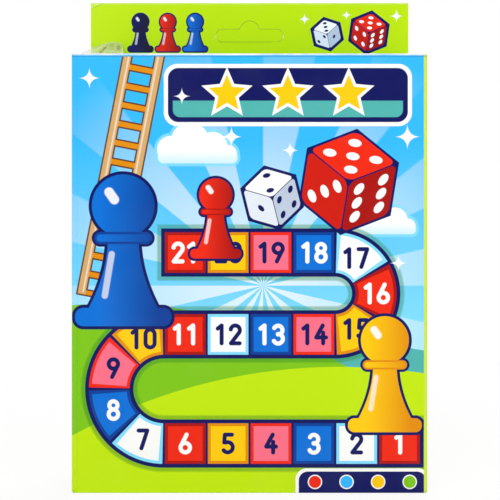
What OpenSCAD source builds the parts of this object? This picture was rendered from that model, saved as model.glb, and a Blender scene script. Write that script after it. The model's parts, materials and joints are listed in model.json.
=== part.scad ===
// Boxed snakes and ladders game.
// A straight-tuck carton with a double-ply hanging header holds a quad-fold game board,
// a moulded tray with four pawns and a die, and a folded rules leaflet.
// Millimetres. The origin is the centre of the footprint on the ground, +Z is up
// and the front panel faces -Y. Every panel is drawn folded, as the closed carton stands.

/* [Carton] */
// Width of the front panel, outside to outside
carton_w = 158; // [146:1:180]
// Depth from the front face to the back face
carton_d = 40; // [38:1:60]
// Height of the closed carton below its header
carton_h = 195; // [180:1:220]
// Thickness of the folding boxboard
sheet_t = 0.5; // [0.4:0.05:0.6]
// Outside radius of the four upright folds
fold_r = 1; // [0.8:0.1:2]
// Width of the glue flap inside the back panel
glue_w = 14; // [10:1:20]

/* [Hanging header] */
// Height of the header above the lid
header_h = 34; // [28:1:45]
// Distance of each header end from the start of the upright fold beside it
header_inset = 0.2; // [0.1:0.1:4]
// Length of the folded-down ply that is glued inside the back panel
header_anchor = 10; // [6:1:14]
// Length of the hang slot
slot_w = 33; // [28:0.5:38]
// Height of the hang slot's straight part
slot_h = 6; // [5:0.5:8]
// Width of the hump over the slot, where it meets the slot
hump_w = 10.5; // [9:0.5:14]
// Height of the hump above the slot
hump_h = 4; // [3:0.5:5]
// Distance from the header's top edge down to the slot's lower edge
slot_drop = 19; // [16:0.5:22]

/* [Closures] */
// Length of the tuck flaps
tuck_l = 13; // [10:0.5:15]
// Lean of the seated tuck flaps towards the inside, in degrees
tuck_lean = 16; // [14:1:20]
// Radius of the tuck flaps' free corners
tuck_corner_r = 8; // [4:0.5:9]
// Length of the dust flaps
dust_l = 28; // [20:1:34]
// Radius of the dust flaps' free corners
dust_corner_r = 4; // [2:0.5:6]

/* [Tape seal] */
// Width of the clear tape across the lid and the header
tape_w = 20; // [12:1:25]
// Height on the header where the tape is stuck down
tape_rise = 14; // [8:1:18]

/* [Game board] */
// Thickness of one board leaf
leaf_t = 1.6; // [1.2:0.1:2]
// Thickness of the cloth hinge strips
hinge_t = 0.15; // [0.1:0.05:0.25]
// Width of a hinge strip on each leaf
hinge_leg = 9; // [6:1:14]

/* [Tray] */
// Wall of the moulded tray
tray_t = 0.6; // [0.4:0.1:1]
// Width of the flange around the tray's rim
tray_flange = 3; // [2:0.5:5]
// Corner radius of the tray's body
tray_r = 6; // [3:0.5:10]
// Draft of the tray's walls over its depth
tray_draft = 1.5; // [1:0.25:2.5]

/* [Pawns and die] */
// Diameter of a pawn's foot
pawn_d = 14; // [12:0.5:16]
// Height of a pawn
pawn_h = 26; // [22:0.5:30]
// Diameter of a pawn's head
head_d = 9; // [7:0.5:10]
// Thickness of a pawn's foot
foot_h = 3; // [2:0.25:4]
// Diameter of a pawn's neck
neck_d = 5; // [4:0.25:6]
// Diameter of the ring under a pawn's head
collar_d = 8; // [6.5:0.25:9]
// Height of the ring under a pawn's head
collar_h = 1.6; // [1:0.1:2]
// Edge length of the die
die_s = 14; // [10:0.5:16]
// Diameter of a pip
pip_d = 2.4; // [1.5:0.1:2.8]
// Depth of a pip
pip_depth = 0.5; // [0.3:0.1:0.8]

/* [Rules leaflet] */
// Width of the folded leaflet
leaflet_w = 130; // [90:1:140]
// Height of the folded leaflet
leaflet_h = 95; // [70:1:150]
// Thickness of its paper
paper_t = 0.2; // [0.1:0.05:0.3]

/* [Hidden] */
$fn = 64;

// Colours of the print, the board and the pieces
lime = [0.76, 0.90, 0.06];
sky = [0.19, 0.72, 0.98];
raw_board = [0.86, 0.84, 0.80];
tray_white = [0.93, 0.94, 0.95];
leaf_grey = [0.62, 0.60, 0.57];
cloth_navy = [0.06, 0.09, 0.33];
paper_white = [0.96, 0.96, 0.94];
tape_clear = [0.95, 0.93, 0.80, 0.5];

// Clearances
overrun = 1;          // how far every cutting body runs past its face
crease_gap = 0.1;     // running gap between a crease bead and the flap that turns on it
flap_gap = 0.1;       // gap between a lid and the dust flaps under it
slot_kerf = 0.15;     // width of the knife cut around the hang slot's flap
slot_crease_gap = 0.05;      // gap along the crease under that flap
tuck_clear = 0.5;     // gap between a seated tuck fold and the ply behind it
lid_side_gap = 0.6;   // how far a lid's ends stand in from the side faces
lid_corner_r = 1.5;   // radius of a lid's corners
tuck_side_gap = 2.5;  // how far a tuck flap's ends stand in from its lid's ends
dust_front_gap = 1;   // gap between a dust flap and the front panel
dust_rear_gap = 1.5;  // gap between a dust flap and the tuck fold
dust_slant_share = 0.55;     // slant of a dust flap's front edge over its length
dust_shoulder = 1.5;  // step that a dust flap's rear edge draws in by
dust_shoulder_l = 5;  // length of that step, from the crease
anchor_inset = 3;     // how far the glued-down ply stands in from the header's ends
glue_taper = 6;       // slope at the two ends of the glue flap
tape_t = 0.15;        // thickness of the tape
tape_gap = 0.25;      // gap between the tape and the header that it has been peeled from
tape_foot = 4;        // length of tape stuck to the lid
tape_start = 0.2;     // distance of the tape's end from the lid's front edge
tape_top = 4;         // length of tape standing against the header
tape_from_side = 4;   // distance of the tape from the carton's side
seat_gap = 0.1;       // gap under and behind everything packed inside
leaf_side_gap = 3.5;  // gap from a leaf to each side panel
leaf_top_gap = 8;     // headroom above the folded board
fold_clear = 0.1;     // spare room between two folded leaves
hinge_inset = 6;      // how far a hinge strip stops short of its leaf's ends
tray_side_gap = 1;    // gap from the tray's flange to each side panel
tray_top_gap = 7;     // headroom above the tray
tray_tuck_gap = 0.8;  // gap from the tray to the tuck flaps' tips
well_clear = 1.5;     // room around a piece in its well
well_r = 2;           // corner radius of a well
well_draft = 0.5;     // draft of a well's walls over its depth
finger_h = 9;         // height of the finger trough across the pawn wells
finger_depth = 7;     // depth of that trough
finger_past = 6;      // how far the trough runs past the outer wells
pawn_pitch_share = 0.22;     // distance from one pawn well to the next, over the tray body's width
pawn_row_share = 0.58;       // height of the pawn row, as a share of the tray's height
die_row_share = 0.24;        // height of the die well, as a share of the tray's height
die_round_share = 1.36;      // diameter of the ball that rounds the die, over its edge
pip_pitch_share = 0.25;      // distance of the outer pips from a face's centre, over the edge
hump_top_share = 0.9;        // diameter of the hump's round top, over its foot
hump_root_share = 0.85;      // where the hump's flanks end inside its round top, over its radius
leaflet_base_share = 0.3;    // height of the leaflet's lower edge over the tray's height

// Levels and planes of the carton
half_w = carton_w / 2;
front_y = -carton_d / 2;
back_y = carton_d / 2;
crease_r = sheet_t;                               // a crease bead is as thick as two sheets
hinge_y = front_y + crease_r;                     // hinge line of both lids
hinge_hi = carton_h - crease_r;
hinge_lo = crease_r;
tuck_y = back_y - 2 * sheet_t - tuck_clear - crease_r;   // hinge line of both tuck flaps
side_lo = sheet_t + flap_gap + crease_r;          // hinge line of the lower dust flaps
side_hi = carton_h - side_lo;                     // hinge line of the upper dust flaps
dust_x = -half_w + crease_r;                      // hinge line of the left dust flaps
dust_front = front_y + sheet_t + dust_front_gap;
dust_rear = tuck_y - dust_rear_gap;
lid_front = hinge_y + crease_r + crease_gap;      // front edge of both lids
lid_half = half_w - lid_side_gap;
tuck_half = lid_half - tuck_side_gap;
header_top = carton_h + header_h;
header_half = half_w - fold_r - header_inset;
header_face = back_y - 2 * sheet_t;               // front face of the header
slot_z = header_top - slot_drop;                  // lower edge of the hang slot
glue_end = header_anchor + dust_front_gap;        // end of the glue flap, clear of the glued-down ply
floor_z = side_lo + seat_gap;                     // what the contents stand on: the lower dust flaps

// Folded board, from the front: leaves 1 and 2 face to face, 2 and 3 back to back, 3 and 4 face to face
leaf_w = carton_w - 2 * (sheet_t + leaf_side_gap);
leaf_z = floor_z + hinge_t;
leaf_h = side_hi - leaf_top_gap - leaf_z;
face_gap = hinge_t + fold_clear;
back_gap = 2 * hinge_t + fold_clear;
leaf_1_y = front_y + sheet_t + seat_gap + hinge_t;
leaf_2_y = leaf_1_y + leaf_t + face_gap;
leaf_3_y = leaf_2_y + leaf_t + back_gap;
leaf_4_y = leaf_3_y + leaf_t + face_gap;
stack_back = leaf_4_y + leaf_t + hinge_t;

// Leaflet and tray behind the board
leaflet_y = stack_back + seat_gap;
leaflet_d = 3 * paper_t;
tray_front = leaflet_y + leaflet_d + seat_gap;
tray_rear = tuck_y - tuck_l * sin(tuck_lean) - tray_tuck_gap;
tray_d = tray_rear - tray_front;
tray_w = carton_w - 2 * (sheet_t + tray_side_gap);
tray_h = side_hi - tray_top_gap - floor_z;
tray_mid_z = floor_z + tray_h / 2;
tray_body_w = tray_w - 2 * (tray_flange + tray_draft);
tray_body_h = tray_h - 2 * (tray_flange + tray_draft);
pawn_pitch = tray_body_w * pawn_pitch_share;
pawn_row_z = floor_z + tray_h * pawn_row_share;
die_row_z = floor_z + tray_h * die_row_share;
pawn_well = [pawn_d + 2 * well_clear, pawn_h + 2 * well_clear, pawn_d + well_clear];
die_well = [die_s + 2 * well_clear, die_s + 2 * well_clear, die_s + well_clear];
finger_w = 3 * pawn_pitch + pawn_well[0] + 2 * finger_past;
leaflet_z = floor_z + tray_h * leaflet_base_share;

// Outlines with rounded corners

function unit(v) = v / norm(v);

// Points of the arc that rounds corner c, between its neighbours p and q
function corner_arc(p, c, q, r, steps = 8) =
    let (
        a = unit(p - c),
        b = unit(q - c),
        half = acos(a * b) / 2,
        mid = c + unit(a + b) * r / sin(half),
        from = c + a * r / tan(half) - mid,
        to = c + b * r / tan(half) - mid,
        start = atan2(from[1], from[0]),
        turn = atan2(from[0] * to[1] - from[1] * to[0], from * to)
    )
    r == 0 ? [c] : [for (i = [0 : steps]) mid + r * [cos(start + turn * i / steps), sin(start + turn * i / steps)]];

// Closed outline through points, with the radius of each corner
function rounded(points, radii) =
    let (n = len(points))
    [for (i = [0 : n - 1])
        each corner_arc(points[(i + n - 1) % n], points[i], points[(i + 1) % n], radii[i])];

// Building blocks

// Box between its lowest and its highest corner
module slab(low, high) {
    translate(low) cube(high - low);
}

// Round bead of a crease along X, at one y and z
module bead_x(half_length, y, z) {
    translate([-half_length, y, z]) rotate([0, 90, 0]) cylinder(r = crease_r, h = 2 * half_length);
}

// Round bead of a crease along Y, at one x and z
module bead_y(from, to, x, z) {
    translate([x, to, z]) rotate([90, 0, 0]) cylinder(r = crease_r, h = to - from);
}

// Quarter-round upright fold about (x, y), in the quadrant that the two signs name
module upright_fold(x, y, side, rear, low, high) {
    translate([x, y, low]) linear_extrude(high - low) intersection() {
        difference() {
            circle(fold_r);
            circle(fold_r - sheet_t);
        }
        translate([side < 0 ? -fold_r : 0, rear < 0 ? -fold_r : 0]) square(fold_r);
    }
}

// Outline drawn in X and Z, made into a sheet that fills from y to y + depth
module upright_sheet(y, depth) {
    translate([0, y + depth, 0]) rotate([90, 0, 0]) linear_extrude(depth) children();
}

// The same piece at the carton's other end
module at_bottom() {
    translate([0, 0, carton_h]) mirror([0, 0, 1]) children();
}

// The same piece on the carton's right side
module on_right() {
    mirror([1, 0, 0]) children();
}

// Carton walls

module front_panel() {
    flat_half = half_w - fold_r;
    color(sky) {
        slab([-flat_half, front_y, hinge_lo], [flat_half, front_y + sheet_t, hinge_hi]);
        for (side = [-1, 1])
            upright_fold(side * flat_half, front_y + fold_r, side, -1, hinge_lo, hinge_hi);
        for (z = [hinge_lo, hinge_hi])
            bead_x(flat_half, hinge_y, z);
    }
}

// Side panel without its rear edge: the flat and the beads of its two dust flap creases
module side_wall(rear) {
    slab([-half_w, front_y + fold_r, side_lo], [-half_w + sheet_t, rear, side_hi]);
    for (z = [side_lo, side_hi])
        bead_y(dust_front, dust_rear, dust_x, z);
}

module left_side_panel() {
    rear = back_y - sheet_t - fold_r;
    color(lime) {
        side_wall(rear);
        upright_fold(-half_w + fold_r, rear, -1, 1, side_lo, side_hi);
    }
}

module right_side_panel() {
    color(lime) on_right() side_wall(back_y - fold_r);
}

module back_panel() {
    flat_x = half_w - fold_r;
    color(lime) difference() {
        union() {
            slab([-half_w, back_y - sheet_t, 0], [flat_x, back_y, carton_h]);
            upright_fold(flat_x, back_y - fold_r, 1, 1, 0, carton_h);
            slab([-header_half, back_y - sheet_t, carton_h], [header_half, back_y, header_top - sheet_t]);
        }
        hang_slot_cut();
    }
}

// Strip folded from the left side panel and glued behind the back panel's free edge
module glue_flap() {
    inner = -half_w + fold_r;
    outer = -half_w + glue_w;
    color(raw_board) upright_sheet(header_face, sheet_t) polygon([
        [inner, glue_end],
        [outer, glue_end + glue_taper],
        [outer, carton_h - glue_end - glue_taper],
        [inner, carton_h - glue_end]
    ]);
}

// Hanging header

// Slot with round ends and a hump whose straight flanks run up to a round top, grown all round by one amount
module hang_slot_outline(grow) {
    end_r = slot_h / 2;
    crown_r = hump_w * hump_top_share / 2;
    top_r = crown_r + grow;
    top_z = end_r + hump_h - crown_r;
    foot = [hump_w / 2 + grow, end_r + grow];
    reach = foot - [0, top_z];
    meet = atan2(reach[1], reach[0]) + acos(top_r / norm(reach));
    touch = [0, top_z] + hump_root_share * top_r * [cos(meet), sin(meet)];
    translate([0, slot_z + end_r]) {
        square([slot_w - slot_h, slot_h + 2 * grow], center = true);
        for (side = [-1, 1])
            translate([side * (slot_w / 2 - end_r), 0]) circle(end_r + grow);
        intersection() {
            translate([0, top_z]) circle(top_r);
            translate([-slot_w / 2, -end_r / 2]) square([slot_w, slot_h + hump_h + grow]);
        }
        polygon([[-foot[0], 0], [foot[0], 0], foot, touch, [-touch[0], touch[1]], [-foot[0], foot[1]]]);
    }
}

module hang_slot_cut() {
    upright_sheet(header_face - overrun, 2 * (sheet_t + overrun)) intersection() {
        hang_slot_outline(slot_kerf);
        translate([-slot_w, slot_z - slot_crease_gap]) square([2 * slot_w, slot_drop]);
    }
}

// Front ply of the header: folded over the top edge, glued down to the back panel below the lid
module header_front_ply() {
    anchor_half = header_half - anchor_inset;
    fold_z = header_top - sheet_t;
    color(lime) difference() {
        union() {
            slab([-header_half, header_face, carton_h], [header_half, header_face + sheet_t, fold_z]);
            slab([-anchor_half, header_face, carton_h - header_anchor], [anchor_half, header_face + sheet_t, carton_h]);
            intersection() {
                translate([-header_half, header_face + sheet_t, fold_z])
                    rotate([0, 90, 0]) cylinder(r = sheet_t, h = 2 * header_half);
                slab([-header_half, header_face, fold_z], [header_half, back_y, header_top]);
            }
        }
        hang_slot_cut();
    }
}

// Push-through flap that fills the hang slot until the carton is hung up
module hang_slot_flap() {
    color(lime) upright_sheet(header_face, 2 * sheet_t) hang_slot_outline(0);
}

// Closures: a lid, its tuck flap and two dust flaps at each end

module lid() {
    translate([0, 0, carton_h - sheet_t]) linear_extrude(sheet_t) polygon(rounded(
        [[-lid_half, lid_front], [lid_half, lid_front], [lid_half, tuck_y], [-lid_half, tuck_y]],
        [lid_corner_r, lid_corner_r, tuck_side_gap / 2, tuck_side_gap / 2]
    ));
    bead_x(tuck_half, tuck_y, hinge_hi);
}

module top_lid() {
    color(sky) lid();
}

module bottom_lid() {
    color(lime) at_bottom() lid();
}

module tuck_flap() {
    top = -crease_r - crease_gap;
    translate([0, tuck_y, hinge_hi]) rotate([-tuck_lean, 0, 0]) upright_sheet(0, sheet_t) polygon(rounded(
        [[-tuck_half, top], [tuck_half, top], [tuck_half, -tuck_l], [-tuck_half, -tuck_l]],
        [0, 0, tuck_corner_r, tuck_corner_r]
    ));
}

module top_tuck_flap() {
    color(sky) tuck_flap();
}

module bottom_tuck_flap() {
    color(lime) at_bottom() tuck_flap();
}

// Dust flap on the left, at the top: slanted towards the lid's hinge, stepped beside the tuck flap
module dust_flap() {
    root = dust_x + crease_r + crease_gap;
    tip = dust_x + dust_l;
    step = root + dust_shoulder_l;
    translate([0, 0, side_hi]) linear_extrude(sheet_t) polygon(rounded(
        [
            [root, dust_front],
            [tip, dust_front + dust_slant_share * dust_l],
            [tip, dust_rear - dust_shoulder],
            [step, dust_rear - dust_shoulder],
            [step - dust_shoulder, dust_rear],
            [root, dust_rear]
        ],
        [0, dust_corner_r, dust_corner_r, 0, 0, 0]
    ));
}

module top_dust_flap_left() {
    color(lime) dust_flap();
}

module top_dust_flap_right() {
    color(lime) on_right() dust_flap();
}

module bottom_dust_flap_left() {
    color(lime) at_bottom() dust_flap();
}

module bottom_dust_flap_right() {
    color(lime) at_bottom() on_right() dust_flap();
}

// Clear tape: stuck to the lid, tented across the corner and standing against the header
module tape_seal() {
    start = lid_front + tape_start;
    bend = start + tape_foot;
    top_y = header_face - tape_gap;
    color(tape_clear) translate([-half_w + tape_from_side, 0, carton_h])
        rotate([90, 0, 90]) linear_extrude(tape_w) polygon([
            [start, 0],
            [bend, 0],
            [top_y, tape_rise],
            [top_y, tape_rise + tape_top],
            [top_y - tape_t, tape_rise + tape_top],
            [top_y - tape_t, tape_rise + tape_t],
            [bend, tape_t],
            [start, tape_t]
        ]);
}

// Folded game board

module board_leaf(y) {
    color(leaf_grey) slab([-leaf_w / 2, y, leaf_z], [leaf_w / 2, y + leaf_t, leaf_z + leaf_h]);
}

module board_leaf_1() {
    board_leaf(leaf_1_y);
}

module board_leaf_2() {
    board_leaf(leaf_2_y);
}

module board_leaf_3() {
    board_leaf(leaf_3_y);
}

module board_leaf_4() {
    board_leaf(leaf_4_y);
}

// Cloth strip round the edges of two leaves, drawn as a U whose web lies under the edge at zero
module hinge_profile(from, to) {
    difference() {
        translate([from - hinge_t, -hinge_t]) square([to - from + 2 * hinge_t, hinge_leg + hinge_t]);
        translate([from, 0]) square([to - from, hinge_leg + overrun]);
    }
}

// Strip under the lower edges of a pair of leaves that lie face to face
module foot_hinge(first_y) {
    length = leaf_w - 2 * hinge_inset;
    color(cloth_navy) translate([-length / 2, 0, leaf_z]) rotate([90, 0, 90])
        linear_extrude(length) hinge_profile(first_y, first_y + 2 * leaf_t + face_gap);
}

module board_hinge_front() {
    foot_hinge(leaf_1_y);
}

module board_hinge_rear() {
    foot_hinge(leaf_3_y);
}

// Strip round the left edges of the two middle leaves, which lie back to back
module board_hinge_spine() {
    length = leaf_h - 2 * hinge_inset;
    color(cloth_navy) translate([-leaf_w / 2, 0, leaf_z + hinge_inset]) linear_extrude(length)
        mirror([1, -1]) hinge_profile(leaf_2_y, leaf_3_y + leaf_t);
}

// Moulded tray

// Rounded plate in X and Z, as thin as the tray's wall
module tray_plate(w, h, r, y) {
    upright_sheet(y, tray_t) translate([0, 0]) {
        square([w - 2 * r, h], center = true);
        square([w, h - 2 * r], center = true);
        for (x = [-1, 1], z = [-1, 1])
            translate([x * (w / 2 - r), z * (h / 2 - r)]) circle(r, $fn = 24);
    }
}

// Drafted block about (x, z), wide at one end: from plane y over a depth, widened by a draft each side
module drafted(x, z, size, r, y, depth, front_more, rear_more) {
    translate([x, 0, z]) hull() {
        tray_plate(size[0] + 2 * front_more, size[1] + 2 * front_more, r, y);
        tray_plate(size[0] + 2 * rear_more, size[1] + 2 * rear_more, r, y + depth - tray_t);
    }
}

// Places and sizes of the tray's wells: x, z, size
function wells() = concat(
    [for (i = [0 : 3]) [pawn_x(i), pawn_row_z, pawn_well]],
    [[0, die_row_z, die_well]]
);

function pawn_x(i) = (i - 3 / 2) * pawn_pitch;

// One well as a block, grown by the wall for its outside
module well_block(well, wall, from) {
    size = [well[2][0] + 2 * wall, well[2][1] + 2 * wall];
    drafted(well[0], well[1], size, well_r, from, tray_front + well[2][2] + wall - from, 0, -well_draft);
}

module finger_block(wall, from) {
    drafted(0, pawn_row_z, [finger_w + 2 * wall, finger_h + 2 * wall], well_r, from,
        tray_front + finger_depth + wall - from, 0, -well_draft);
}

module insert_tray() {
    body = [tray_body_w, tray_body_h];
    inner = [tray_body_w - 2 * tray_t, tray_body_h - 2 * tray_t];
    color(tray_white) difference() {
        union() {
            difference() {
                drafted(0, tray_mid_z, body, tray_r, tray_front, tray_d, 0, tray_draft);
                drafted(0, tray_mid_z, inner, tray_r - tray_t, tray_front + tray_t, tray_d, 0, tray_draft);
            }
            difference() {
                translate([0, 0, tray_mid_z]) tray_plate(tray_w, tray_h, tray_r, tray_rear - tray_t);
                drafted(0, tray_mid_z, inner, tray_r - tray_t, tray_front + tray_t, tray_d, 0, tray_draft);
            }
            for (well = wells())
                well_block(well, tray_t, tray_front);
            finger_block(tray_t, tray_front);
        }
        for (well = wells())
            well_block(well, 0, tray_front - overrun);
        finger_block(0, tray_front - overrun);
    }
}

// Pawns and die

// Half outline of a pawn: foot, hollow-curved stem, ring and ball head
module pawn_profile() {
    foot_r = pawn_d / 2;
    stem_r = foot_r - foot_h / 2;
    neck_r = neck_d / 2;
    head_z = pawn_h - head_d / 2;
    ring_z = head_z - sqrt(pow(head_d / 2, 2) - pow(neck_r, 2));
    stem_h = ring_z - foot_h;
    sweep = stem_r - neck_r;
    hollow_r = (sweep * sweep + stem_h * stem_h) / (2 * sweep);
    square([stem_r, foot_h]);
    translate([stem_r, foot_h / 2]) circle(foot_h / 2);
    translate([0, foot_h]) difference() {
        square([stem_r, stem_h]);
        translate([neck_r + hollow_r, stem_h]) circle(hollow_r, $fn = 180);
    }
    translate([0, ring_z - collar_h / 2]) square([collar_d / 2 - collar_h / 2, collar_h]);
    translate([collar_d / 2 - collar_h / 2, ring_z]) circle(collar_h / 2);
    intersection() {
        translate([0, head_z]) circle(head_d / 2);
        square([foot_r, pawn_h]);
    }
}

// Pawn standing in its well of the tray
module pawn(i) {
    foot_z = pawn_row_z - pawn_well[1] / 2 + well_draft + seat_gap;
    translate([pawn_x(i), tray_front + pawn_well[2] / 2, foot_z]) rotate_extrude() pawn_profile();
}

module pawn_red() {
    color("crimson") pawn(0);
}

module pawn_blue() {
    color("royalblue") pawn(1);
}

module pawn_yellow() {
    color("gold") pawn(2);
}

module pawn_green() {
    color("limegreen") pawn(3);
}

// Places of the pips on a face, as steps from its centre
function pips(n) = concat(
    n % 2 == 1 ? [[0, 0]] : [],
    n > 1 ? [[-1, -1], [1, 1]] : [],
    n > 3 ? [[-1, 1], [1, -1]] : [],
    n > 5 ? [[-1, 0], [1, 0]] : []
);

// Pips of one face, sunk into the plane at half the die's edge above the origin
module pip_dimples(n) {
    ball_r = (pow(pip_d / 2, 2) + pow(pip_depth, 2)) / (2 * pip_depth);
    for (p = pips(n))
        translate([p[0] * die_s * pip_pitch_share, p[1] * die_s * pip_pitch_share, die_s / 2 + ball_r - pip_depth])
            sphere(ball_r);
}

// Die in its well, with opposite faces that add up to seven
module die() {
    base_z = die_row_z - die_well[1] / 2 + well_draft + seat_gap;
    color("white") translate([0, tray_front + die_well[2] / 2, base_z + die_s / 2]) difference() {
        intersection() {
            cube(die_s, center = true);
            sphere(d = die_s * die_round_share);
        }
        pip_dimples(1);
        rotate([180, 0, 0]) pip_dimples(6);
        rotate([90, 0, 0]) pip_dimples(2);
        rotate([-90, 0, 0]) pip_dimples(5);
        rotate([0, 90, 0]) pip_dimples(3);
        rotate([0, -90, 0]) pip_dimples(4);
    }
}

// Rules leaflet: one sheet folded double, with its round fold at the bottom
module rules_leaflet() {
    fold_mid = leaflet_d / 2;
    color(paper_white) translate([-leaflet_w / 2, leaflet_y, leaflet_z]) rotate([90, 0, 90]) linear_extrude(leaflet_w) {
        for (y = [0, leaflet_d - paper_t])
            translate([y, fold_mid]) square([paper_t, leaflet_h - fold_mid]);
        translate([fold_mid, fold_mid]) difference() {
            circle(fold_mid);
            circle(fold_mid - paper_t);
            translate([-leaflet_d, 0]) square(2 * leaflet_d);
        }
    }
}

front_panel();
back_panel();
left_side_panel();
right_side_panel();
glue_flap();
header_front_ply();
hang_slot_flap();
top_lid();
top_tuck_flap();
top_dust_flap_left();
top_dust_flap_right();
bottom_lid();
bottom_tuck_flap();
bottom_dust_flap_left();
bottom_dust_flap_right();
tape_seal();
board_leaf_1();
board_leaf_2();
board_leaf_3();
board_leaf_4();
board_hinge_front();
board_hinge_spine();
board_hinge_rear();
insert_tray();
pawn_red();
pawn_blue();
pawn_yellow();
pawn_green();
die();
rules_leaflet();
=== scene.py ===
import json
import math

import bmesh
import bpy
from mathutils import Matrix, Vector, noise


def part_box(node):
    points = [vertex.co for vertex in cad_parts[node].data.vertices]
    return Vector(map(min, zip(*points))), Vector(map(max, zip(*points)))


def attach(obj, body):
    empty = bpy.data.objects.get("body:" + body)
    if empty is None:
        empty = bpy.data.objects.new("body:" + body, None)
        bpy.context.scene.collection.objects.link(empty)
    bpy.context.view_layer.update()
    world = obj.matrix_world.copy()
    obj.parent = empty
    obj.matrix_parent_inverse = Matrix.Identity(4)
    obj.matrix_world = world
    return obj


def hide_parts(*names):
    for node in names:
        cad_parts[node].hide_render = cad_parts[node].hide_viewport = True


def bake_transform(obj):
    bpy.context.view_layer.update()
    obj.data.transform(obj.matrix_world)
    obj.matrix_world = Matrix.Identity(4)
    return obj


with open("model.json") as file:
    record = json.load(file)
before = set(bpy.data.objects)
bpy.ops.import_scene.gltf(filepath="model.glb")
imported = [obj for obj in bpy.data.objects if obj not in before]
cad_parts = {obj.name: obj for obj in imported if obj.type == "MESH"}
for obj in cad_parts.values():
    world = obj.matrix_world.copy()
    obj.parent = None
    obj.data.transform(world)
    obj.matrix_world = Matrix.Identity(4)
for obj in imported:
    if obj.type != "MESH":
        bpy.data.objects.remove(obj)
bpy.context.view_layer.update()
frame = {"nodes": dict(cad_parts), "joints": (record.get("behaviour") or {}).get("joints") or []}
nodes = frame["nodes"]
scene = bpy.context.scene


def add_object(name, data):
    """An object in the scene, at the origin, for some data."""
    made = bpy.data.objects.new(name, data)
    scene.collection.objects.link(made)
    return made


# Sizes, in metres where they place a piece and in millimetres where they place ink
MM = 0.001
front_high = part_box("front_panel")[1]
back_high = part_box("back_panel")[1]
lid_low, lid_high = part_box("top_lid")
HALF_W = front_high.x / MM
HEIGHT = front_high.z / MM
HALF_D = back_high.y / MM
HEADER_TOP = back_high.z / MM
CREASE_R = 0.5
PRINT_EDGE = 0.18
FOLD_PALE_REACH = 0.6
X, Y, Z = (1.0, 0.0, 0.0), (0.0, 1.0, 0.0), (0.0, 0.0, 1.0)
LEFT, FRONT, DOWN = (-1.0, 0.0, 0.0), (0.0, -1.0, 0.0), (0.0, 0.0, -1.0)

# Camera, at the photograph's place in front of the carton
CAMERA_AT = (0.0002, -0.388, 0.1078)
LENS = 59.77
SENSOR = 36.0
CLIP_START = 0.01

camera_data = bpy.data.cameras.new("photo_camera")
camera_data.lens = LENS
camera_data.sensor_width = SENSOR
camera_data.clip_start = CLIP_START
camera = add_object("photo_camera", camera_data)
camera.location = CAMERA_AT
camera.rotation_euler = (math.pi / 2, 0, 0)
scene.camera = camera
scene.view_settings.view_transform = "Standard"


def ink(red, green, blue):
    """A printed colour, given as 0 to 255 on a screen, in linear light."""
    shares = [part / 255 for part in (red, green, blue)]
    return (*[((s + 0.055) / 1.055) ** 2.4 if s > 0.04045 else s / 12.92 for s in shares], 1.0)


SKY = ink(49, 184, 252)
PALE_SKY = ink(132, 220, 255)
LIME = ink(193, 230, 4)
DEEP_LIME = ink(132, 168, 0)
LIME_WRAP = ink(204, 228, 70)
NAVY = ink(8, 16, 92)
TEAL = ink(80, 178, 172)
RED = ink(238, 40, 12)
DEEP_RED = ink(168, 14, 6)
BLUE = ink(0, 112, 214)
DEEP_BLUE = ink(0, 62, 150)
YELLOW = ink(255, 202, 0)
AMBER = ink(224, 140, 0)
GREEN = ink(126, 196, 20)
DEEP_GREEN = ink(52, 142, 30)
PINK = ink(250, 112, 136)
TAN = ink(214, 168, 106)
BROWN = ink(98, 62, 38)
WHITE = ink(250, 250, 248)
BLACK = ink(22, 22, 26)
BARE_BOARD = ink(196, 190, 178)
BARE_FLECK = ink(150, 143, 130)
CUT_EDGE = ink(172, 165, 142)


# Shader maths

class Value:
    """One value that varies over a surface. Arithmetic on it adds Math nodes."""

    def __init__(self, tree, socket):
        self.tree, self.socket = tree, socket

    def __add__(self, other):
        return self.tree.math("ADD", self, other)

    def __radd__(self, other):
        return self.tree.math("ADD", other, self)

    def __sub__(self, other):
        return self.tree.math("SUBTRACT", self, other)

    def __rsub__(self, other):
        return self.tree.math("SUBTRACT", other, self)

    def __mul__(self, other):
        return self.tree.math("MULTIPLY", self, other)

    def __rmul__(self, other):
        return self.tree.math("MULTIPLY", other, self)

    def __truediv__(self, other):
        return self.tree.math("DIVIDE", self, other)

    def __rtruediv__(self, other):
        return self.tree.math("DIVIDE", other, self)

    def __mod__(self, other):
        return self.tree.math("FLOORED_MODULO", self, other)

    def __pow__(self, other):
        return self.tree.math("POWER", self, other)

    def __gt__(self, other):
        return self.tree.math("GREATER_THAN", self, other)

    def __lt__(self, other):
        return self.tree.math("LESS_THAN", self, other)

    def __neg__(self):
        return self.tree.math("MULTIPLY", self, -1.0)

    def __abs__(self):
        return self.tree.math("ABSOLUTE", self)

    def floor(self):
        return self.tree.math("FLOOR", self)

    def held(self):
        """The value kept between 0 and 1, by nodes that stay in the order that they are written."""
        return self.tree.math("MINIMUM", self.tree.math("MAXIMUM", self, 0.0), 1.0)

    def output(self, index):
        """Another output of the same node."""
        return Value(self.tree, self.socket.node.outputs[index])


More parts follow.
